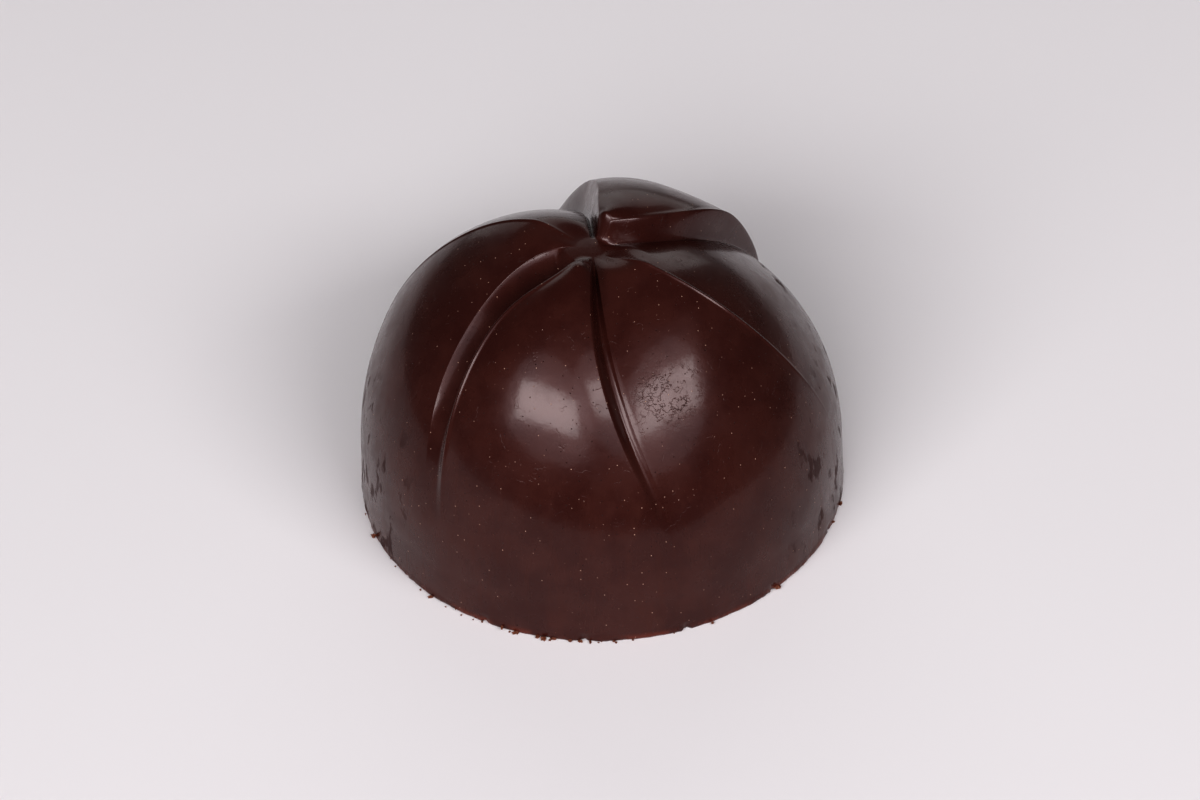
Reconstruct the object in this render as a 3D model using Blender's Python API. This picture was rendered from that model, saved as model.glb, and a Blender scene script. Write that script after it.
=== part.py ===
"""A moulded dark chocolate praline: one solid body with a flat base.

The body is a round dome on a short upright wall. Its top carries a swirl: two raised ribbon lobes opposite
each other, and between them two wide petals, each with a fine keel down its middle. A rounded valley runs
down each side of a lobe. The swirl turns as it goes outwards and fades into the plain dome above the wall.

The surface is a grid. One way runs s, the length along the dome's outline from the top down to the base. The
other way runs round the dome, in columns that follow the swirl.
"""

import bpy
import numpy as np

# Outline, in metres
BASE_RADIUS = 0.0151
HEIGHT = 0.01986
WALL_HEIGHT = 0.0027
WALL_DRAFT = 0.00012
FOOT_CHAMFER = 0.00008
DOME_ROUND_SIDE = 2.19  # exponents of the dome's outline: 2 is an ellipse, more is squarer
DOME_ROUND_TOP = 1.96

# The dome leans a little, and the swirl's centre sits off the axis
LEAN_X = -0.00030
LEAN_Y = -0.00038
SHOULDER_X = -0.00024

# Swirl, heights in metres from the plain dome
VALLEY_STEPS = {"A": 0.00120, "B": 0.00105, "C": 0.00120, "F": 0.00195}  # petal edge below the plain dome
VALLEY_DEPTHS = {"A": 0.00066, "B": 0.00018, "C": 0.00025, "F": 0.00034}  # groove below the petal edge
VALLEY_HEADS = {"A": 0.0016, "B": 0.0020, "C": 0.0006, "F": 0.0008}  # length at which the groove begins
LOBE_RISE = 0.00042
LOBE_CROWN = 0.00037
LOBE_LIP = 0.00080
KEEL_DROP = 0.00036
KEEL_RADIUS = 0.00021
POLE_DIP = 0.00120

# Swirl, lengths along the outline in metres
FADE_FROM = 0.0090
SWIRL_END = 0.0225

# Lines of the swirl: angle at the lower end, turn over the whole line, bend, hook at the top, all in degrees but
# the bend; then the length of the hook, and the length at which the line has its full height, in metres
LOBE_1_START = (229.0, 10.0, 1.0, 41.0, 0.0045, 0.0032)
LOBE_1_END = (286.5, 28.0, 1.1, 9.0, 0.0045, 0.0036)
PETAL_1_START = (289.5, 18.5, 1.0, 6.0, 0.0045, 0.0030)
KEEL_1 = (346.5, 27.5, 1.4, -7.0, 0.0045, 0.0044)
PETAL_1_END = (400.5, 36.0, 1.5, -4.0, 0.0045, 0.0024)
LOBE_2_START = (405.0, 22.0, 1.1, 30.0, 0.0019, 0.0017)
LOBE_2_END = (465.0, 28.0, 1.0, -18.0, 0.0019, 0.0017)
PETAL_2_START = (469.0, 19.5, 1.0, 4.0, 0.0045, 0.0026)
KEEL_2 = (526.0, 29.0, 1.3, 4.5, 0.0045, 0.0044)
PETAL_2_END = (583.5, 40.0, 1.55, -14.0, 0.0045, 0.0030)

# Cells of the grid between one swirl line and the next, and rows from the top down
CELLS_LOBE = 10
CELLS_NARROW_VALLEY = 6
CELLS_HALF_PETAL = 9
CELLS_WIDE_VALLEY = 8
ROWS_TOP = 17
ROWS_DOME = 25


def ease(x):
    x = np.clip(x, 0.0, 1.0)
    return x * x * (3.0 - 2.0 * x)


def outline(s):
    """Radius, height and outward normal of the plain body at length s from the top."""
    turn = np.linspace(np.pi / 2, 0.0, 2000)
    radius = (BASE_RADIUS - WALL_DRAFT) * np.cos(turn) ** (2.0 / DOME_ROUND_SIDE)
    radius[0] = 0.0
    height = WALL_HEIGHT + (HEIGHT - WALL_HEIGHT) * np.sin(turn) ** (2.0 / DOME_ROUND_TOP)
    radius = np.append(radius, BASE_RADIUS)
    height = np.append(height, 0.0)
    length = np.append(0.0, np.cumsum(np.hypot(np.diff(radius), np.diff(height))))
    across = -np.gradient(height, length)
    up = np.gradient(radius, length)
    size = np.hypot(across, up)
    rows = (radius, height, across / size, up / size)
    return [np.interp(s, length, row) for row in rows], length[-1]


def swirl_line(s, line):
    end, turn, bend, hook, hook_length, _ = line
    left = np.clip(1.0 - s / SWIRL_END, 0.0, 1.0)
    return end - turn * left**bend + hook * np.exp(-((s / hook_length) ** 2))


def fade(s):
    return 1.0 - ease((s - FADE_FROM) / (SWIRL_END - FADE_FROM))


def lobe_height(w, s, lip):
    """Height across a lobe, w from 0 to 1: crowned, with a lip that rises down along its first edge."""
    crown = LOBE_RISE * (1.0 - ease((s - 0.0045) / 0.012))
    lip = lip * fade(s) * ease((s - 0.0050) / 0.0070)
    edge = crown - LOBE_CROWN * fade(s) + np.where(w < 0.5, lip, 0.0)
    return edge + (crown - edge) * (1.0 - (2.0 * w - 1.0) ** 2)


def petal_edge(s, valley):
    """How far a petal's edge lies below the plain dome: the dip at the top, then the valley's own step."""
    return fade(s) * (POLE_DIP + (VALLEY_STEPS[valley] - POLE_DIP) * ease((s - 0.0020) / 0.0060))


def petal_height(w, s, radius, angle, valley, keel):
    """Height across half a petal, w from 0 at its keel to 1 at its valley. The keel is a small round."""
    half = np.maximum(radius, 0.0005) * np.radians(angle)
    away = (np.sqrt((w * half) ** 2 + KEEL_RADIUS**2) - KEEL_RADIUS) / half
    keel = keel * fade(s)
    return -keel + (keel - petal_edge(s, valley)) * np.clip(away, 0.0, 1.0)


def valley_heights(w, s, valley, lip, wall, floor):
    """Rise up the lobe's wall, and groove, across a valley: w from 0 at the petal to 1 at the lobe."""
    low = -petal_edge(s, valley)
    high = lobe_height(0.0, s, lip)
    lift = low + (high - low) * ease((w - wall) / (1.0 - wall))
    head = ease((s - VALLEY_HEADS[valley]) / 0.0009)
    down = 0.7 * (1.0 - np.exp(-w / 0.19)) + 0.3 * np.clip(w / floor, 0.0, 1.0)
    depth = VALLEY_DEPTHS[valley] * (1.0 + 0.45 * np.exp(-(((s - 0.0035) / 0.0025) ** 2)))
    groove = depth * fade(s) ** 2 * head * down * (1.0 - ease((w - floor) / (1.0 - floor)))
    return lift, groove


def body_points():
    total = outline(0.0)[1]
    top = 0.0052 * (np.arange(ROWS_TOP) + 1.0) / ROWS_TOP
    wall_top = total - WALL_HEIGHT
    dome = np.linspace(top[-1], wall_top, ROWS_DOME + 1)[1:]
    wall = wall_top + WALL_HEIGHT * np.array((0.30, 0.65))
    rows = np.concatenate((top, dome, wall, [total - FOOT_CHAMFER]))
    s = rows[:, None]
    (radius, height, across, up), _ = outline(s)

    lines = (
        LOBE_1_START,
        LOBE_1_END,
        PETAL_1_START,
        KEEL_1,
        PETAL_1_END,
        LOBE_2_START,
        LOBE_2_END,
        PETAL_2_START,
        KEEL_2,
        PETAL_2_END,
    )
    cells = 2 * (CELLS_LOBE, CELLS_NARROW_VALLEY, CELLS_HALF_PETAL, CELLS_HALF_PETAL, CELLS_WIDE_VALLEY)
    valleys = "BBBCCFFFAA"
    angles = []
    lifts = []
    grooves = []
    reaches = []
    for index, count in enumerate(cells):
        line = lines[index]
        after = lines[(index + 1) % 10]
        start = swirl_line(s, line)
        end = swirl_line(s, after) + (360.0 if index == 9 else 0.0)
        w = np.arange(count) / count
        w = (w - 0.5 * np.sin(2.0 * np.pi * w) / (2.0 * np.pi))[None, :]
        angles.append(start + (end - start) * w)
        reaches.append(line[5] + (after[5] - line[5]) * ease(w) + 0.0 * s)
        valley = valleys[index]
        keel = 0.0 if index < 5 else KEEL_DROP
        lip = LOBE_LIP if index in (4, 5) else 0.0
        groove = 0.0 * (w + s)
        kind = index % 5
        if kind == 0:
            lift = lobe_height(w, s, lip)
        elif kind == 1:
            lift, groove = valley_heights(1.0 - w, s, valley, 0.0, 0.30, 0.40)
        elif kind == 2:
            lift = petal_height(1.0 - w, s, radius, end - start, valley, keel)
        elif kind == 3:
            lift = petal_height(w, s, radius, end - start, valley, keel)
        else:
            place = 0.15 + 0.60 * ease((s - 0.00225) / 0.012) if index == 4 else 0.62 + 0.0 * s
            lift, groove = valley_heights(w, s, valley, lip, place, place)
        lifts.append(lift)
        grooves.append(groove)
    angle = np.concatenate(angles, axis=1)
    lift = np.concatenate(lifts, axis=1)
    reach = np.concatenate(reaches, axis=1)

    # Below the swirl the columns spread evenly round the wall
    even = angle[-1:, :1] + np.arange(angle.shape[1])[None, :] * 360.0 / angle.shape[1]
    angle = angle + (even - angle) * ease((s - SWIRL_END) / (total - SWIRL_END))

    # The swirl sinks into a shallow saddle at the very top, each line over its own length
    begin = np.minimum(0.5 * reach, 0.0009)
    inner = ease((s - begin) / (reach - begin))
    lift = lift * inner - POLE_DIP * (1.0 - inner) - np.concatenate(grooves, axis=1)

    lean = 1.0 - ease((s - 0.0075) / 0.0180)
    shoulder = SHOULDER_X * np.exp(-(((s - 0.0143) / 0.0053) ** 2))
    turn = np.radians(angle)
    x = (radius + lift * across) * np.cos(turn) + LEAN_X * lean + shoulder
    y = (radius + lift * across) * np.sin(turn) + LEAN_Y * lean
    z = np.broadcast_to(height + lift * up, x.shape)
    grid = np.stack((x, y, z), axis=-1)

    # The foot: one ring drawn in by the chamfer, then the flat underside
    foot = grid[-1].copy()
    foot[:, :2] *= 1.0 - FOOT_CHAMFER / BASE_RADIUS
    foot[:, 2] = 0.0
    rings = np.concatenate((grid, foot[None]), axis=0)
    pole = (LEAN_X, LEAN_Y, outline(0.0)[0][1] - POLE_DIP)
    centre = (0.0, 0.0, 0.0)
    return rings, pole, centre


def body_mesh():
    rings, pole, centre = body_points()
    rows, columns = rings.shape[:2]
    points = [tuple(point) for point in rings.reshape(-1, 3)]
    pole_index = len(points)
    centre_index = pole_index + 1
    points += [pole, centre]
    faces = []
    for column in range(columns):
        after = (column + 1) % columns
        faces.append((pole_index, column, after))
        for row in range(rows - 1):
            a = row * columns + column
            b = row * columns + after
            faces.append((a, a + columns, b + columns))
            faces.append((a, b + columns, b))
        last = (rows - 1) * columns
        faces.append((centre_index, last + after, last + column))
    mesh = bpy.data.meshes.new("praline_body")
    mesh.from_pydata(points, [], faces)
    mesh.update()
    return mesh


def chocolate():
    material = bpy.data.materials.new("dark_chocolate")
    material.use_nodes = True
    shader = material.node_tree.nodes["Principled BSDF"]
    shader.inputs["Base Color"].default_value = (0.030, 0.0075, 0.0055, 1.0)
    shader.inputs["Roughness"].default_value = 0.22
    shader.inputs["IOR"].default_value = 1.46
    return material


for old in list(bpy.data.objects):
    bpy.data.objects.remove(old, do_unlink=True)

praline = bpy.data.objects.new("praline_body", body_mesh())
praline.data.materials.append(chocolate())
bpy.context.scene.collection.objects.link(praline)
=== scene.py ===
"""A moulded dark chocolate praline with a few crumbs at its foot, on a pale table under soft lights."""

import bpy
import numpy as np
from mathutils import Matrix, Vector


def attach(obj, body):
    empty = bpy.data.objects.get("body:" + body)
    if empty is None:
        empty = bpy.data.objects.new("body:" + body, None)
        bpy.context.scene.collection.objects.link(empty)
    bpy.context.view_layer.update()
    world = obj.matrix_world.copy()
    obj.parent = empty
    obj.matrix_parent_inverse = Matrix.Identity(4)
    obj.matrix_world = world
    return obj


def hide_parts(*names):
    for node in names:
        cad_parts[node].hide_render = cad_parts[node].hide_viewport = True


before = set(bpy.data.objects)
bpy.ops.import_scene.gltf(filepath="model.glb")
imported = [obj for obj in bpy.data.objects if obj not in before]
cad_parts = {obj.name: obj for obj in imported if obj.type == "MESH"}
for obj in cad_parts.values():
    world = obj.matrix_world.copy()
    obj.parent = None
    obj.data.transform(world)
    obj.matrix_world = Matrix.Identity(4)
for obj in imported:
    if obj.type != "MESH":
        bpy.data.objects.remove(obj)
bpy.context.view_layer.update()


# --------------------------------------------------------------------------------------------------------
# The body. Dark chocolate, cast in a polished tray and scraped flat underneath. Two lobes and two keeled
# petals swirl up to the top, with a valley down each side of a lobe. It is one closed mesh: its rows follow
# the length s from the top down to the foot, and its columns follow the lines of the swirl.
# --------------------------------------------------------------------------------------------------------

BASE_RADIUS = 0.0151
HEIGHT = 0.01986
WALL_HEIGHT = 0.0027
WALL_DRAFT = 0.00012
FOOT_ROUND = 0.00012
ROUND_SIDE = 2.19
ROUND_TOP = 1.96
LEAN_X = -0.00030
LEAN_Y = -0.00038
LEAN_FROM = 0.0075
LEAN_LENGTH = 0.0180
SHOULDER_X = -0.00024
SHOULDER_AT = 0.0143
SHOULDER_LENGTH = 0.0053

# The swirl: heights above or below the plain dome, and the lengths s at which they start and fade
FADE_FROM = 0.0090
SWIRL_END = 0.0225
POLE_DIP = 0.00120
DIP_FROM = 0.0020
DIP_LENGTH = 0.0060
LOBE_RISE = 0.00042
LOBE_CROWN = 0.00037
LOBE_FROM = 0.0045
LOBE_LENGTH = 0.0120
LOBE_LIP = 0.00080
LIP_FROM = 0.0050
LIP_LENGTH = 0.0070
KEEL_DROP = 0.00036
KEEL_RADIUS = 0.00012

# Valleys: how far a petal steps down to it, the depth of its groove, and where its rounded head starts
VALLEYS = {
    "narrow 1": (0.00105, 0.00018, 0.0020),
    "wide 1": (0.00120, 0.00025, 0.0006),
    "narrow 2": (0.00195, 0.00034, 0.0008),
    "wide 2": (0.00120, 0.00066, 0.0016),
}
VALLEY_OF_SECTOR = 3 * ("narrow 1",) + 2 * ("wide 1",) + 3 * ("narrow 2",) + 2 * ("wide 2",)
HEAD_LENGTH = 0.0009
NARROW_WALL = 0.30
NARROW_FLOOR = 0.40
WIDE_WALL = 0.62
GROOVE_CURVE = 0.19
DEEPEST_AT = 0.0035
DEEPEST_LENGTH = 0.0025
DEEPEST_EXTRA = 0.45

# Lines of the swirl: angle at the lower end and turn over the whole line in degrees, bend, hook at the top
# in degrees, then the hook's length and the length at which the line has its full height, in metres
SWIRL_LINES = {
    "lobe 1 start": (229.0, 10.0, 1.0, 41.0, 0.0045, 0.0032),
    "lobe 1 end": (286.5, 28.0, 1.1, 9.0, 0.0045, 0.0036),
    "petal 1 start": (289.5, 18.5, 1.0, 6.0, 0.0045, 0.0030),
    "keel 1": (346.5, 27.5, 1.4, -7.0, 0.0045, 0.0044),
    "petal 1 end": (400.5, 36.0, 1.5, -4.0, 0.0045, 0.0024),
    "lobe 2 start": (405.0, 22.0, 1.1, 30.0, 0.0019, 0.0017),
    "lobe 2 end": (465.0, 28.0, 1.0, -18.0, 0.0019, 0.0017),
    "petal 2 start": (469.0, 19.5, 1.0, 4.0, 0.0045, 0.0026),
    "keel 2": (526.0, 29.0, 1.3, 4.5, 0.0045, 0.0044),
    "petal 2 end": (583.5, 40.0, 1.55, -14.0, 0.0045, 0.0030),
}

# Fine beads along five of the lines, where the tray's edges were cut: height and width
BEADS = {
    "lobe 1 start": (0.00010, 0.00015),
    "petal 1 start": (0.00005, 0.00013),
    "keel 1": (0.00006, 0.00010),
    "lobe 2 start": (0.00004, 0.00015),
    "keel 2": (0.00005, 0.00011),
}

# Grid: columns of a lobe, a narrow valley, a petal's two halves and a wide valley, twice, then rows
SECTOR_COLUMNS = 2 * (56, 28, 48, 48, 36)
COLUMN_CROWDING = 0.88
TOP_LENGTH = 0.0055
TOP_ROWS = 84
DOME_ROWS = 111
FOOT_LENGTH = 0.0012
FOOT_ROWS = 15
UNDERSIDE_RINGS = 20

# Scraping draws the last 0.8 mm above the table in and out, and breaks chips out of it
RAGGED_FROM = 0.0001
RAGGED_HEIGHT = 0.0007
FOOT_WAVE = 0.000018
FOOT_CHIP = 0.0006

# Chips high on one shoulder: place, depth and radius in mm
CHIPS = (
    (11.30, 4.05, 11.70, 0.24, 0.34),
    (10.25, 5.20, 12.35, 0.13, 0.28),
    (11.62, 3.20, 11.75, 0.10, 0.22),
)


def ease(x):
    """Smooth step: 3x^2 - 2x^3, held at 0 and 1 outside that range."""
    x = np.clip(x, 0.0, 1.0)
    return x * x * (3.0 - 2.0 * x)


def outline(s):
    """Radius, height and outward normal of the plain body at length s, and the whole length. The dome's
    radius goes with cos(a)^(2/2.19) and its height with sin(a)^(2/1.96), on a short straight wall."""
    a = np.linspace(np.pi / 2, 0.0, 4000)
    radius = (BASE_RADIUS - WALL_DRAFT) * np.cos(a) ** (2.0 / ROUND_SIDE)
    radius[0] = 0.0
    height = WALL_HEIGHT + (HEIGHT - WALL_HEIGHT) * np.sin(a) ** (2.0 / ROUND_TOP)
    radius = np.append(radius, BASE_RADIUS)
    height = np.append(height, 0.0)
    length = np.append(0.0, np.cumsum(np.hypot(np.diff(radius), np.diff(height))))
    across = -np.gradient(height, length)
    up = np.gradient(radius, length)
    size = np.hypot(across, up)
    rows = (radius, height, across / size, up / size)
    return [np.interp(s, length, row) for row in rows], length[-1]


def swirl_line(s, name):
    """Angle of a line at length s: end - turn (1 - s/S)^bend + hook exp(-(s/hook length)^2)."""
    end, turn, bend, hook, hook_length, _ = SWIRL_LINES[name]
    left = np.clip(1.0 - s / SWIRL_END, 0.0, 1.0)
    return end - turn * left**bend + hook * np.exp(-((s / hook_length) ** 2))


def fade(s):
    """How much of the swirl is left at length s: 1 at the top, and 0 above the wall."""
    return 1.0 - ease((s - FADE_FROM) / (SWIRL_END - FADE_FROM))


def lobe_height(w, s, lip):
    """Across a lobe, w from 0 to 1: a parabolic crown, and a lip that rises down its first edge."""
    crown = LOBE_RISE * (1.0 - ease((s - LOBE_FROM) / LOBE_LENGTH))
    lip = lip * fade(s) * ease((s - LIP_FROM) / LIP_LENGTH)
    edge = crown - LOBE_CROWN * fade(s) + np.where(w < 0.5, lip, 0.0)
    return edge + (crown - edge) * (1.0 - (2.0 * w - 1.0) ** 2)


def petal_edge(s, valley):
    """How far a petal's edge lies below the plain dome: the dip of the top, then the valley's own step."""
    return fade(s) * (POLE_DIP + (VALLEYS[valley][0] - POLE_DIP) * ease((s - DIP_FROM) / DIP_LENGTH))


def petal_height(w, s, radius, angle, valley, keel):
    """Across half a petal: a straight slope from the keel, w = 0, a small round, to the valley, w = 1."""
    half = np.maximum(radius, 0.0005) * np.radians(angle)
    away = (np.sqrt((w * half) ** 2 + KEEL_RADIUS**2) - KEEL_RADIUS) / half
    keel = keel * fade(s)
    return -keel + (keel - petal_edge(s, valley)) * np.clip(away, 0.0, 1.0)


def valley_heights(w, s, valley, lip, wall, floor):
    """Rise and groove across a valley, w from 0 at the petal to 1 at the lobe. The rise is a smooth step
    from `wall` on. The groove goes down as 1 - exp(-w/0.19) and a slope, and up again from `floor` on."""
    _, depth, head_from = VALLEYS[valley]
    low = -petal_edge(s, valley)
    high = lobe_height(np.zeros_like(w), s, lip)
    lift = low + (high - low) * ease((w - wall) / (1.0 - wall))
    head = ease((s - head_from) / HEAD_LENGTH)
    down = 0.7 * (1.0 - np.exp(-w / GROOVE_CURVE)) + 0.3 * np.clip(w / floor, 0.0, 1.0)
    depth = depth * (1.0 + DEEPEST_EXTRA * np.exp(-(((s - DEEPEST_AT) / DEEPEST_LENGTH) ** 2)))
    groove = depth * fade(s) ** 2 * head * down * (1.0 - ease((w - floor) / (1.0 - floor)))
    return lift, groove


def sector(index, s, radius):
    """Angles, lift, groove and reach of the columns from one line of the swirl to the next. The columns
    crowd towards both lines: w - 0.88 sin(2 pi w) / (2 pi)."""
    names = list(SWIRL_LINES)
    line = names[index]
    after = names[(index + 1) % 10]
    start = swirl_line(s, line)
    end = swirl_line(s, after) + (360.0 if index == 9 else 0.0)
    count = SECTOR_COLUMNS[index]
    w = np.arange(count) / count
    w = (w - COLUMN_CROWDING * np.sin(2.0 * np.pi * w) / (2.0 * np.pi))[None, :] + 0.0 * s
    reach = SWIRL_LINES[line][5] + (SWIRL_LINES[after][5] - SWIRL_LINES[line][5]) * ease(w)
    valley = VALLEY_OF_SECTOR[index]
    keel = 0.0 if index < 5 else KEEL_DROP
    lip = LOBE_LIP if index in (4, 5) else 0.0
    groove = 0.0 * w
    kind = ("lobe", "narrow valley", "to the keel", "from the keel", "wide valley")[index % 5]
    if kind == "lobe":
        lift = lobe_height(w, s, lip)
    elif kind == "narrow valley":
        lift, groove = valley_heights(1.0 - w, s, valley, 0.0, NARROW_WALL, NARROW_FLOOR)
    elif kind == "to the keel":
        lift = petal_height(1.0 - w, s, radius, end - start, valley, keel)
    elif kind == "from the keel":
        lift = petal_height(w, s, radius, end - start, valley, keel)
    elif valley == "wide 1":
        # Its floor widens down the body, from 0.15 to 0.75 of the valley
        foot_of_wall = 0.15 + 0.60 * ease((s - 0.00225) / 0.012)
        lift, groove = valley_heights(w, s, valley, lip, foot_of_wall, foot_of_wall)
    else:
        lift, groove = valley_heights(w, s, valley, lip, WIDE_WALL, WIDE_WALL)
    return start + (end - start) * w, lift, groove, reach


def body_grid():
    """The body's points as rows and columns, with each one's length s and angle. A point is the plain
    outline moved along its normal by the swirl's lift, then leant a little to one side."""
    total = outline(0.0)[1]
    rows = (
        TOP_LENGTH * (np.arange(TOP_ROWS) + 1.0) / TOP_ROWS,
        np.linspace(TOP_LENGTH, total - FOOT_LENGTH, DOME_ROWS + 1)[1:],
        np.linspace(total - FOOT_LENGTH, total - FOOT_ROUND, FOOT_ROWS + 1)[1:],
    )
    s = np.concatenate(rows)[:, None]
    (radius, height, across, up), _ = outline(s)
    sectors = [sector(index, s, radius) for index in range(10)]
    angle, lift, groove, reach = (np.concatenate(parts, axis=1) for parts in zip(*sectors))

    # Below the swirl the columns spread evenly round the wall
    even = angle[-1:, :1] + np.arange(angle.shape[1])[None, :] * 360.0 / angle.shape[1]
    angle = angle + (even - angle) * ease((s - SWIRL_END) / (total - SWIRL_END))

    # The swirl sinks into a shallow saddle at the very top, each line over its own length
    begin = np.minimum(0.5 * reach, HEAD_LENGTH)
    inner = ease((s - begin) / (reach - begin))
    lift = lift * inner - POLE_DIP * (1.0 - inner) - groove
    for name, (bead, bead_width) in BEADS.items():
        away = radius * np.radians((angle - swirl_line(s, name) + 180.0) % 360.0 - 180.0)
        lift = lift + bead * fade(s) * inner * np.exp(-((away / bead_width) ** 2))

    lean = 1.0 - ease((s - LEAN_FROM) / LEAN_LENGTH)
    shoulder = SHOULDER_X * np.exp(-(((s - SHOULDER_AT) / SHOULDER_LENGTH) ** 2))
    turn = np.radians(angle)
    x = (radius + lift * across) * np.cos(turn) + LEAN_X * lean + shoulder
    y = (radius + lift * across) * np.sin(turn) + LEAN_Y * lean
    z = np.broadcast_to(height + lift * up, x.shape)
    return np.stack((x, y, z), axis=-1), s + 0.0 * x, turn


def uneven_foot(grid, turn):
    """Draws the last 0.8 mm in or out by a sum of sines of the angle, and chips it at their peaks."""
    low = 1.0 - ease((grid[..., 2:] - RAGGED_FROM) / RAGGED_HEIGHT)
    wave = np.sin(17.0 * turn + 1.3) + 0.8 * np.sin(41.0 * turn + 0.4) + 0.6 * np.sin(97.0 * turn + 2.2)
    wave = wave + 0.5 * np.sin(211.0 * turn) * np.sin(13.0 * turn)
    peak = np.sin(23.0 * turn + 2.0) * np.sin(7.0 * turn + 0.8) + 0.15 * np.sin(150.0 * turn)
    chip = np.clip(peak - 0.72, 0.0, 1.0)
    inwards = (FOOT_WAVE * wave + FOOT_CHIP * chip)[..., None] * low
    return grid * (1.0 - inwards * (1.0, 1.0, 0.0) / BASE_RADIUS)


def chipped_shoulder(grid, length, turn):
    """Presses each chip inwards by depth exp(-(distance/radius)^4), with a ragged edge."""
    ragged = 1.0 + 0.35 * np.sin(31.0 * length[..., None] * 1000.0) * np.sin(190.0 * turn[..., None])
    for x, y, z, depth, radius in CHIPS:
        away = np.linalg.norm(grid * 1000.0 - (x, y, z), axis=-1, keepdims=True)
        dent = 0.001 * depth * np.exp(-((away * ragged / radius) ** 4))
        outward = np.array((x, y, 0.75 * z))
        grid = grid - dent * outward / np.linalg.norm(outward)
    return grid


def closed_mesh(name, rings, pole, centre):
    """One closed mesh of a stack of rings, with a pole on top and a centre point below."""
    rows, columns = rings.shape[:2]
    points = np.concatenate((rings.reshape(-1, 3), [pole, centre]))
    row = np.arange(rows - 1)[:, None] * columns
    column = np.arange(columns)[None, :]
    after = (column + 1) % columns
    corners = (row + column, row + columns + column, row + columns + after, row + after)
    quads = np.stack(corners, axis=-1).reshape(-1, 4)
    caps = np.stack((np.full(columns, rows * columns), column[0], after[0]), axis=-1)
    last = (rows - 1) * columns
    base = np.stack((np.full(columns, rows * columns + 1), last + after[0], last + column[0]), axis=-1)
    mesh = bpy.data.meshes.new(name)
    mesh.from_pydata(points.tolist(), [], quads.tolist() + caps.tolist() + base.tolist())
    mesh.polygons.foreach_set("use_smooth", np.ones(len(mesh.polygons), bool))
    mesh.update()
    return mesh


grid, length, turn = body_grid()
grid = uneven_foot(grid, turn)
grid = chipped_shoulder(grid, length, turn)
foot = grid[-1:] * ((1.0, 1.0, 0.0),) * (1.0 - 0.6 * FOOT_ROUND / BASE_RADIUS)
underside = foot * np.linspace(1.0, 0.05, UNDERSIDE_RINGS)[:, None, None]
rings = np.concatenate((grid, underside), axis=0)
pole = np.array((LEAN_X, LEAN_Y, HEIGHT - POLE_DIP))
praline = bpy.data.objects.new("praline", closed_mesh("praline", rings, pole, np.zeros(3)))
bpy.context.scene.collection.objects.link(praline)


def hex_colour(code):
    """A hex sRGB colour as the linear values that a shader takes."""
    values = np.array([int(code[i : i + 2], 16) for i in (1, 3, 5)]) / 255.0
    linear = np.where(values <= 0.04045, values / 12.92, ((values + 0.055) / 1.055) ** 2.4)
    return (*linear.tolist(), 1.0)


def plug(node, inputs):
    """Sets or links a node's inputs, {socket: value or output}. A node stands for its own first output."""
    for socket, value in inputs.items():
        if isinstance(value, bpy.types.Node):
            value = value.outputs[0]
        if isinstance(value, bpy.types.NodeSocket):
            node.id_data.links.new(value, node.inputs[socket])
        else:
            node.inputs[socket].default_value = value


def add(tree, kind, inputs, **settings):
    """Adds a shader node with its settings, and sets or links its inputs."""
    node = tree.nodes.new(kind)
    for name, value in settings.items():
        setattr(node, name, value)
    plug(node, inputs)
    return node


# Dark chocolate, tempered and cast. The tray's polish and the cocoa butter give a very dark reddish brown a
# clear, soft-edged gloss, which rubs, streaks, dust and pinholes dull or break.
chocolate = bpy.data.materials.new("moulded dark chocolate")
chocolate.use_nodes = True
tree = chocolate.node_tree
place = add(tree, "ShaderNodeTexCoord", {}).outputs["Object"]
mm = add(tree, "ShaderNodeVectorMath", {"Vector": place, "Scale": 1000.0}, operation="SCALE")
axes = add(tree, "ShaderNodeSeparateXYZ", {"Vector": mm}).outputs
across = add(tree, "ShaderNodeMath", {0: axes["X"]}, operation="ABSOLUTE")


def grain(size, detail, stretch=(1.0, 1.0, 1.0)):
    """Noise from 0 to 1 with features `size` mm wide, drawn out along an axis where stretch is under 1."""
    vector = add(tree, "ShaderNodeMapping", {"Vector": mm, "Scale": stretch})
    inputs = {"Vector": vector, "Scale": 1.0 / size, "Detail": detail, "Roughness": 0.6}
    return add(tree, "ShaderNodeTexNoise", inputs)


def patches(size, low, high, detail, stretch=(1.0, 1.0, 1.0), where=1.0):
    """Soft patches inside the mask `where`: a smooth step of the grain, 0 at `low` and 1 at `high`."""
    inputs = {"Value": grain(size, detail, stretch), "From Min": low, "From Max": high, "To Max": where}
    return add(tree, "ShaderNodeMapRange", inputs, interpolation_type="SMOOTHSTEP")


def below(full, gone):
    """1 below the height `full`, and a smooth step to 0 at the height `gone`, in mm."""
    inputs = {"Value": axes["Z"], "From Min": gone, "From Max": full}
    return add(tree, "ShaderNodeMapRange", inputs, interpolation_type="SMOOTHSTEP")


def near(centre, full, gone):
    """1 within `full` mm of a point, and a smooth step to 0 at `gone` mm."""
    away = add(tree, "ShaderNodeVectorMath", {0: mm, 1: centre}, operation="DISTANCE").outputs["Value"]
    inputs = {"Value": away, "From Min": gone, "From Max": full}
    return add(tree, "ShaderNodeMapRange", inputs, interpolation_type="SMOOTHSTEP")


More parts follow.
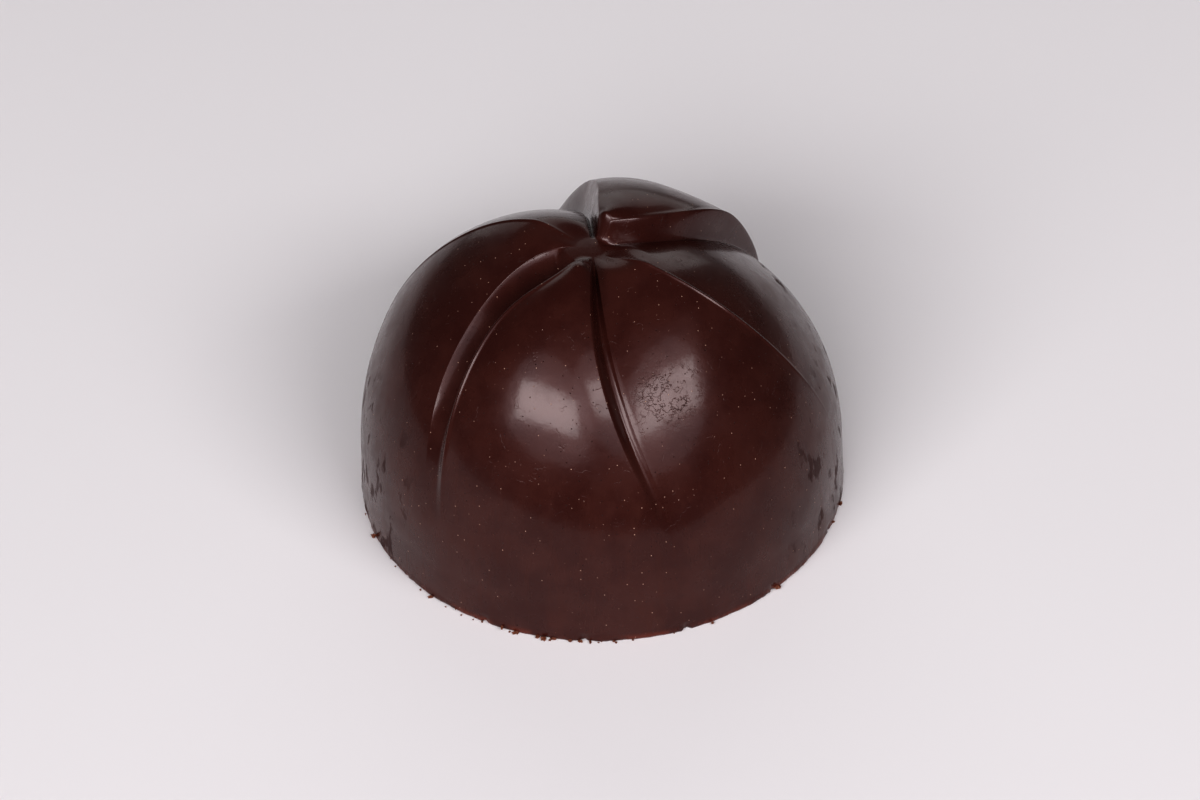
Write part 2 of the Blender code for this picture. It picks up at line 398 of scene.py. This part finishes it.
def dots(size, radius, shift, rare, common):
    """Round dots of the given radius in mm, one to a cell of the given size. A cell's random value keeps
    its dot out below `rare` and lets it in fully above `common`."""
    moved = add(tree, "ShaderNodeVectorMath", {0: mm, 1: shift}, operation="ADD")
    cell = add(tree, "ShaderNodeTexVoronoi", {"Vector": moved, "Scale": 1.0 / size}).outputs
    pick = add(tree, "ShaderNodeSeparateColor", {"Color": cell["Color"]})
    inputs = {"Value": pick, "From Min": rare, "From Max": common}
    let_in = add(tree, "ShaderNodeMapRange", inputs, interpolation_type="SMOOTHSTEP")
    edge = radius / size
    inputs = {"Value": cell["Distance"], "From Min": edge, "From Max": 0.4 * edge, "To Max": let_in}
    return add(tree, "ShaderNodeMapRange", inputs, interpolation_type="SMOOTHSTEP")


def threads(size, width, shift, where):
    """Thin wavy lines inside the mask `where`, about `width` mm wide: where a noise of the given size in mm
    passes its middle value."""
    moved = add(tree, "ShaderNodeVectorMath", {0: mm, 1: shift}, operation="ADD")
    inputs = {"Vector": moved, "Scale": 1.0 / size, "Detail": 3.0, "Roughness": 0.55}
    value = add(tree, "ShaderNodeTexNoise", inputs)
    value = add(tree, "ShaderNodeMath", {0: value, 1: 0.5}, operation="SUBTRACT")
    value = add(tree, "ShaderNodeMath", {0: value}, operation="ABSOLUTE")
    edge = width / size
    inputs = {"Value": value, "From Min": 0.45 * edge, "From Max": 0.15 * edge, "To Max": where}
    return add(tree, "ShaderNodeMapRange", inputs, interpolation_type="SMOOTHSTEP")


def total(start, parts):
    """The start value plus each share times its mask."""
    for share, mask in parts:
        start = add(tree, "ShaderNodeMath", {0: mask, 1: share, 2: start}, operation="MULTIPLY_ADD")
    return start


# Where things are: low down on both sides, the whole wall and lower dome, the foot, and the underside
inputs = {"Value": across, "From Min": 10.0, "From Max": 13.0, "To Max": below(8.5, 11.5)}
sides = add(tree, "ShaderNodeMapRange", inputs, interpolation_type="SMOOTHSTEP")
lower_half = below(9.5, 12.0)
foot_band = below(0.15, 0.6)
under = below(0.0, 0.02)

# Handling: a fresh chip, rubbed patches about 1.3 mm wide, upright streaks, and a haze of cocoa butter
chipped = near(CHIPS[0][:3], 0.25, 0.60)
rub = patches(1.3, 0.565, 0.64, 4.0, (1.0, 1.0, 0.55), sides)
streak = patches(0.5, 0.50, 0.66, 3.0, (1.0, 1.0, 0.12), lower_half)
haze = patches(2.6, 0.42, 0.68, 3.0)

# Fine crackle where the tray pulled at the skin, in one patch on the right, and stray hair lines elsewhere
pulled = patches(0.8, 0.42, 0.56, 2.0, where=near((4.0, -9.4, 14.8), 1.2, 2.6))
fine_threads = threads(0.45, 0.018, (0.0, 0.0, 0.0), pulled)
wide_threads = threads(0.80, 0.026, (3.1, 1.7, 0.4), pulled)
crackle = total(fine_threads, [(0.8, wide_threads)])
hair = threads(1.9, 0.030, (7.3, 2.9, 5.1), patches(1.5, 0.55, 0.62, 1.0))

# Dust and sugar under 0.1 mm, air pinholes with painted shade, a redder ragged foot (partly painted glow),
# and lines from scraping
speck = dots(0.46, 0.044, (0.0, 0.0, 0.0), 0.35, 0.85)
fine_speck = dots(0.27, 0.027, (4.7, 1.1, 8.3), 0.5, 0.9)
# Pinholes are real dents; the dark colour they get below is painted shade inside them
pinhole_and_painted_shade = dots(0.40, 0.044, (9.2, 3.3, 6.1), 0.3, 0.5)
# The foot is redder partly from its ragged, crumbly skin and partly from painted glow, standing in for
# light through the thin edge
red_foot_and_painted_glow = patches(2.0, 0.40, 0.58, 3.0, where=foot_band)
ragged_foot = add(tree, "ShaderNodeMath", {0: foot_band, 1: grain(0.35, 3.0)}, operation="MULTIPLY")
scrape = patches(0.5, 0.3, 0.7, 3.0, (0.08, 1.0, 1.0), under)

inputs = {"Factor": patches(3.8, 0.38, 0.62, 4.0), 6: hex_colour("#361915"), 7: hex_colour("#3E201B")}
colour = add(tree, "ShaderNodeMix", inputs, data_type="RGBA").outputs[2]
for share, mask, tint in (
    (0.40, rub, "#241210"),
    (0.14, streak, "#4A2A22"),
    # redder foot: its crumbly skin, and painted glow of light through the thin edge
    (0.45, red_foot_and_painted_glow, "#6E3628"),
    (0.80, under, "#48261C"),
    (0.50, crackle, "#1E0D0A"),
    # painted shade inside the pinholes
    (0.80, pinhole_and_painted_shade, "#180A07"),
    (0.85, speck, "#C2A18E"),
    (0.50, fine_speck, "#8A6558"),
):
    part = add(tree, "ShaderNodeMath", {0: mask, 1: share}, operation="MULTIPLY")
    inputs = {"Factor": part, 6: colour, 7: hex_colour(tint)}
    colour = add(tree, "ShaderNodeMix", inputs, data_type="RGBA").outputs[2]

rough = (
    (0.25, chipped),
    (0.10, haze),
    (0.30, rub),
    (0.04, streak),
    (0.30, under),
    (0.25, speck),
)
gloss = (
    (-0.25, chipped),
    (-0.35, pinhole_and_painted_shade),
    (-0.26, rub),
    (-0.07, streak),
    (-0.50, under),
    (-0.22, crackle),
    (-0.08, haze),
)

# Relief in mm: slow waves of the skin, its grain, drawn 0.09 mm wide as the real one is too fine to show,
# and the marks
relief = (
    (0.030, grain(3.2, 1.0)),
    (0.0060, grain(0.7, 2.0)),
    (0.0008, grain(0.09, 2.0)),
    (-0.009, rub),
    (0.0010, streak),
    (-0.007, crackle),
    (-0.004, hair),
    (0.016, speck),
    (0.006, fine_speck),
    (-0.022, pinhole_and_painted_shade),
    (0.05, scrape),
    (0.05, ragged_foot),
)
bump_inputs = {"Height": total(0.0, relief), "Strength": 1.0, "Distance": 0.001}
bump = add(tree, "ShaderNodeBump", bump_inputs)
skin = {
    "Base Color": colour,
    "Roughness": total(0.26, rough),
    "IOR": 1.45,
    "Specular IOR Level": 0.28,
    "Specular Tint": (1.0, 0.76, 0.77, 1.0),
    "Normal": bump,
    "Coat Weight": add(tree, "ShaderNodeMath", {0: total(0.44, gloss), 1: 0.0}, operation="MAXIMUM"),
    "Coat Roughness": 0.12,
    "Coat IOR": 1.45,
    "Coat Normal": bump,
}
plug(tree.nodes["Principled BSDF"], skin)
praline.data.materials.append(chocolate)
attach(praline, "root")
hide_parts("praline_body")


# --------------------------------------------------------------------------------------------------------
# Crumbs. Bits of the same chocolate, broken from the foot when it was scraped. They lie against the foot,
# most of them at the front left. Each is a lumpy ball, flattened underneath, 0.08 to 0.3 mm across.
# --------------------------------------------------------------------------------------------------------

CRUMBS = 48
CRUMB_ROWS = 7
CRUMB_COLUMNS = 10
SMALLEST_CRUMB = 0.00004
CRUMB_SPREAD = 0.00011
CRUMB_OVERLAP = 0.00004
CRUMB_STRAY = 0.00018
STUCK_SHARE = 0.35
STUCK_HEIGHT = 0.0002
LOWEST = 0.00001
FRONT_SHARE = 0.65
FRONT_ANGLE = 250.0
FRONT_WIDTH = 17.0

dice = np.random.default_rng(12)
size = SMALLEST_CRUMB + CRUMB_SPREAD * dice.random(CRUMBS) ** 2.5
around = np.radians(dice.uniform(0.0, 360.0, CRUMBS))
front = dice.random(CRUMBS) < FRONT_SHARE
around = np.where(front, np.radians(dice.normal(FRONT_ANGLE, FRONT_WIDTH, CRUMBS)), around)
out = BASE_RADIUS - CRUMB_OVERLAP + 0.4 * size + CRUMB_STRAY * dice.random(CRUMBS) ** 3
rise = size * 0.55 + np.where(dice.random(CRUMBS) < STUCK_SHARE, STUCK_HEIGHT * dice.random(CRUMBS), 0.0)
centres = np.stack((out * np.cos(around), out * np.sin(around), rise), axis=-1)

# A crumb is a ball, each of whose points is drawn in or out at random, stretched along x, y and z
down = np.linspace(0.0, np.pi, CRUMB_ROWS + 2)[1:-1][None, :, None]
round_it = (np.arange(CRUMB_COLUMNS) * 2.0 * np.pi / CRUMB_COLUMNS)[None, None, :]
lump = 1.0 + 0.35 * dice.normal(size=(CRUMBS, CRUMB_ROWS, CRUMB_COLUMNS)).clip(-1.2, 1.2)
stretch = dice.uniform(0.7, 1.4, (CRUMBS, 1, 1, 3)) * (1.0, 1.0, 0.75)
x = lump * np.sin(down) * np.cos(round_it)
y = lump * np.sin(down) * np.sin(round_it)
z = lump * np.cos(down) + 0.0 * round_it
balls = centres[:, None, None] + np.stack((x, y, z), axis=-1) * stretch * size[:, None, None, None]
balls[..., 2] = np.maximum(balls[..., 2], LOWEST)
tops = centres + (0.0, 0.0, 1.0) * size[:, None] * stretch[:, 0, 0]
bottoms = centres * (1.0, 1.0, 0.0) + (0.0, 0.0, LOWEST)
points = np.concatenate((balls.reshape(CRUMBS, -1, 3), tops[:, None], bottoms[:, None]), axis=1)

each = CRUMB_ROWS * CRUMB_COLUMNS + 2
row = np.arange(CRUMB_ROWS - 1)[:, None] * CRUMB_COLUMNS
column = np.arange(CRUMB_COLUMNS)[None, :]
after = (column + 1) % CRUMB_COLUMNS
corners = (row + column, row + CRUMB_COLUMNS + column, row + CRUMB_COLUMNS + after, row + after)
sides = np.stack(corners, axis=-1).reshape(1, -1, 4)
last = (CRUMB_ROWS - 1) * CRUMB_COLUMNS
caps = np.stack((np.full(CRUMB_COLUMNS, each - 2), column[0], after[0]), axis=-1)
base = np.stack((np.full(CRUMB_COLUMNS, each - 1), last + after[0], last + column[0]), axis=-1)
start = (np.arange(CRUMBS) * each)[:, None, None]
faces = (start + sides).reshape(-1, 4).tolist()
faces += (start + np.concatenate((caps, base))[None]).reshape(-1, 3).tolist()
crumb_mesh = bpy.data.meshes.new("crumbs")
crumb_mesh.from_pydata(points.reshape(-1, 3).tolist(), [], faces)
crumb_mesh.update()
crumbs = bpy.data.objects.new("crumbs", crumb_mesh)
bpy.context.scene.collection.objects.link(crumbs)

# Dark chocolate with a fresh break, which is paler, redder and duller than the moulded skin, and has a
# crumbly grain of about nine crystals to the millimetre
broken = bpy.data.materials.new("broken dark chocolate")
broken.use_nodes = True
tree = broken.node_tree
place = add(tree, "ShaderNodeTexCoord", {}).outputs["Object"]
crystals = add(tree, "ShaderNodeTexNoise", {"Vector": place, "Scale": 9000.0, "Detail": 3.0})
inputs = {"Factor": crystals, 6: hex_colour("#341A13"), 7: hex_colour("#8C563E")}
bump_inputs = {"Height": crystals, "Strength": 0.6, "Distance": 0.00003}
break_face = {
    "Base Color": add(tree, "ShaderNodeMix", inputs, data_type="RGBA").outputs[2],
    "Roughness": 0.45,
    "IOR": 1.45,
    "Normal": add(tree, "ShaderNodeBump", bump_inputs),
}
plug(tree.nodes["Principled BSDF"], break_face)
crumb_mesh.materials.append(broken)
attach(crumbs, "root")


# --------------------------------------------------------------------------------------------------------
# The setting. A table of board painted matt white, whose edges lie close to the praline in front and on the
# right, two soft boxes with a glow round each, a dim wall of light at the back, and a dark room.
# --------------------------------------------------------------------------------------------------------

TABLE_FRONT = -0.05
TABLE_RIGHT = 0.065
TABLE_FAR = 2.0
TABLE_TOP = -0.00001  # just under the praline, so that no two faces share a plane

table_mesh = bpy.data.meshes.new("table")
table_corners = (
    (-TABLE_FAR, TABLE_FRONT, TABLE_TOP),
    (TABLE_RIGHT, TABLE_FRONT, TABLE_TOP),
    (TABLE_RIGHT, TABLE_FAR, TABLE_TOP),
    (-TABLE_FAR, TABLE_FAR, TABLE_TOP),
)
table_mesh.from_pydata(table_corners, [], [(0, 1, 2, 3)])
table = bpy.data.objects.new("table", table_mesh)
bpy.context.scene.collection.objects.link(table)

# Matt emulsion paint, rolled on: an even, almost neutral white with no shine
paint = bpy.data.materials.new("matt white paint")
paint.use_nodes = True
plug(paint.node_tree.nodes["Principled BSDF"], {"Base Color": hex_colour("#E1DEDF"), "Roughness": 0.7})
table_mesh.materials.append(paint)

room = bpy.data.worlds.new("room")
room.use_nodes = True
plug(room.node_tree.nodes["Background"], {"Color": (1.0, 0.99, 0.99, 1.0), "Strength": 0.08})
bpy.context.scene.world = room

GLOW_TINT = (1.0, 0.94, 1.0)


def lamp(name, azimuth, elevation, distance, width, height, power, tilt=0.0, shape="RECTANGLE"):
    """A flat lamp that faces the praline. Angles in degrees, sizes in metres, power in watts."""
    light = bpy.data.lights.new(name, "AREA")
    light.shape = shape
    light.size = width
    light.size_y = height
    light.energy = power
    a = np.radians(azimuth)
    e = np.radians(elevation)
    place = Vector((np.cos(a) * np.cos(e), np.sin(a) * np.cos(e), np.sin(e))) * distance
    facing = (-place).to_track_quat("-Z", "Y").to_matrix().to_4x4()
    stand = bpy.data.objects.new(name, light)
    stand.matrix_world = Matrix.Translation(place) @ facing @ Matrix.Rotation(np.radians(tilt), 4, "Z")
    bpy.context.scene.collection.objects.link(stand)
    return light


lamp("left box", 245.0, 32.5, 0.7, 0.56, 0.22, 2.45, 3.0)
lamp("left glow", 246.0, 34.0, 0.8, 0.95, 0.7, 1.75, 0.0, "ELLIPSE").color = GLOW_TINT
lamp("right box", 308.5, 39.0, 0.7, 0.42, 0.19, 1.45, -10.0)
lamp("right glow", 303.0, 38.0, 0.8, 0.75, 0.6, 1.15, 0.0, "ELLIPSE").color = GLOW_TINT
lamp("back wall", 92.0, 21.0, 1.0, 1.1, 0.66, 1.45)


# --------------------------------------------------------------------------------------------------------
# The camera. It stands 0.27 m away, 42.5 degrees above the table, rolled a little to one side, and aimed
# just above the middle of the foot with a long lens.
# --------------------------------------------------------------------------------------------------------

CAMERA_DISTANCE = 0.27
CAMERA_ELEVATION = np.radians(42.5)
CAMERA_ROLL = np.radians(-1.63)
CAMERA_NOD = np.radians(0.9644)
CAMERA_TURN = np.radians(0.0346)
SENSOR_WIDTH = 36.0
LENS = 129.03

back = np.cos(CAMERA_ELEVATION) * CAMERA_DISTANCE
place = Vector((0.0, -back, np.sin(CAMERA_ELEVATION) * CAMERA_DISTANCE))
ahead = (-place).normalized()
right = Vector((1.0, 0.0, 0.0))
aim = Matrix((right, right.cross(ahead), -ahead)).transposed() @ Matrix.Rotation(CAMERA_ROLL, 3, "Z")
aim = aim @ Matrix.Rotation(CAMERA_NOD, 3, "X") @ Matrix.Rotation(CAMERA_TURN, 3, "Y")
camera_data = bpy.data.cameras.new("camera")
camera_data.sensor_width = SENSOR_WIDTH
camera_data.lens = LENS
camera_data.clip_start = 0.01
camera = bpy.data.objects.new("camera", camera_data)
camera.matrix_world = Matrix.Translation(place) @ aim.to_4x4()
bpy.context.scene.collection.objects.link(camera)
bpy.context.scene.camera = camera
bpy.context.scene.view_settings.view_transform = "Standard"
bpy.context.scene.view_settings.look = "High Contrast"
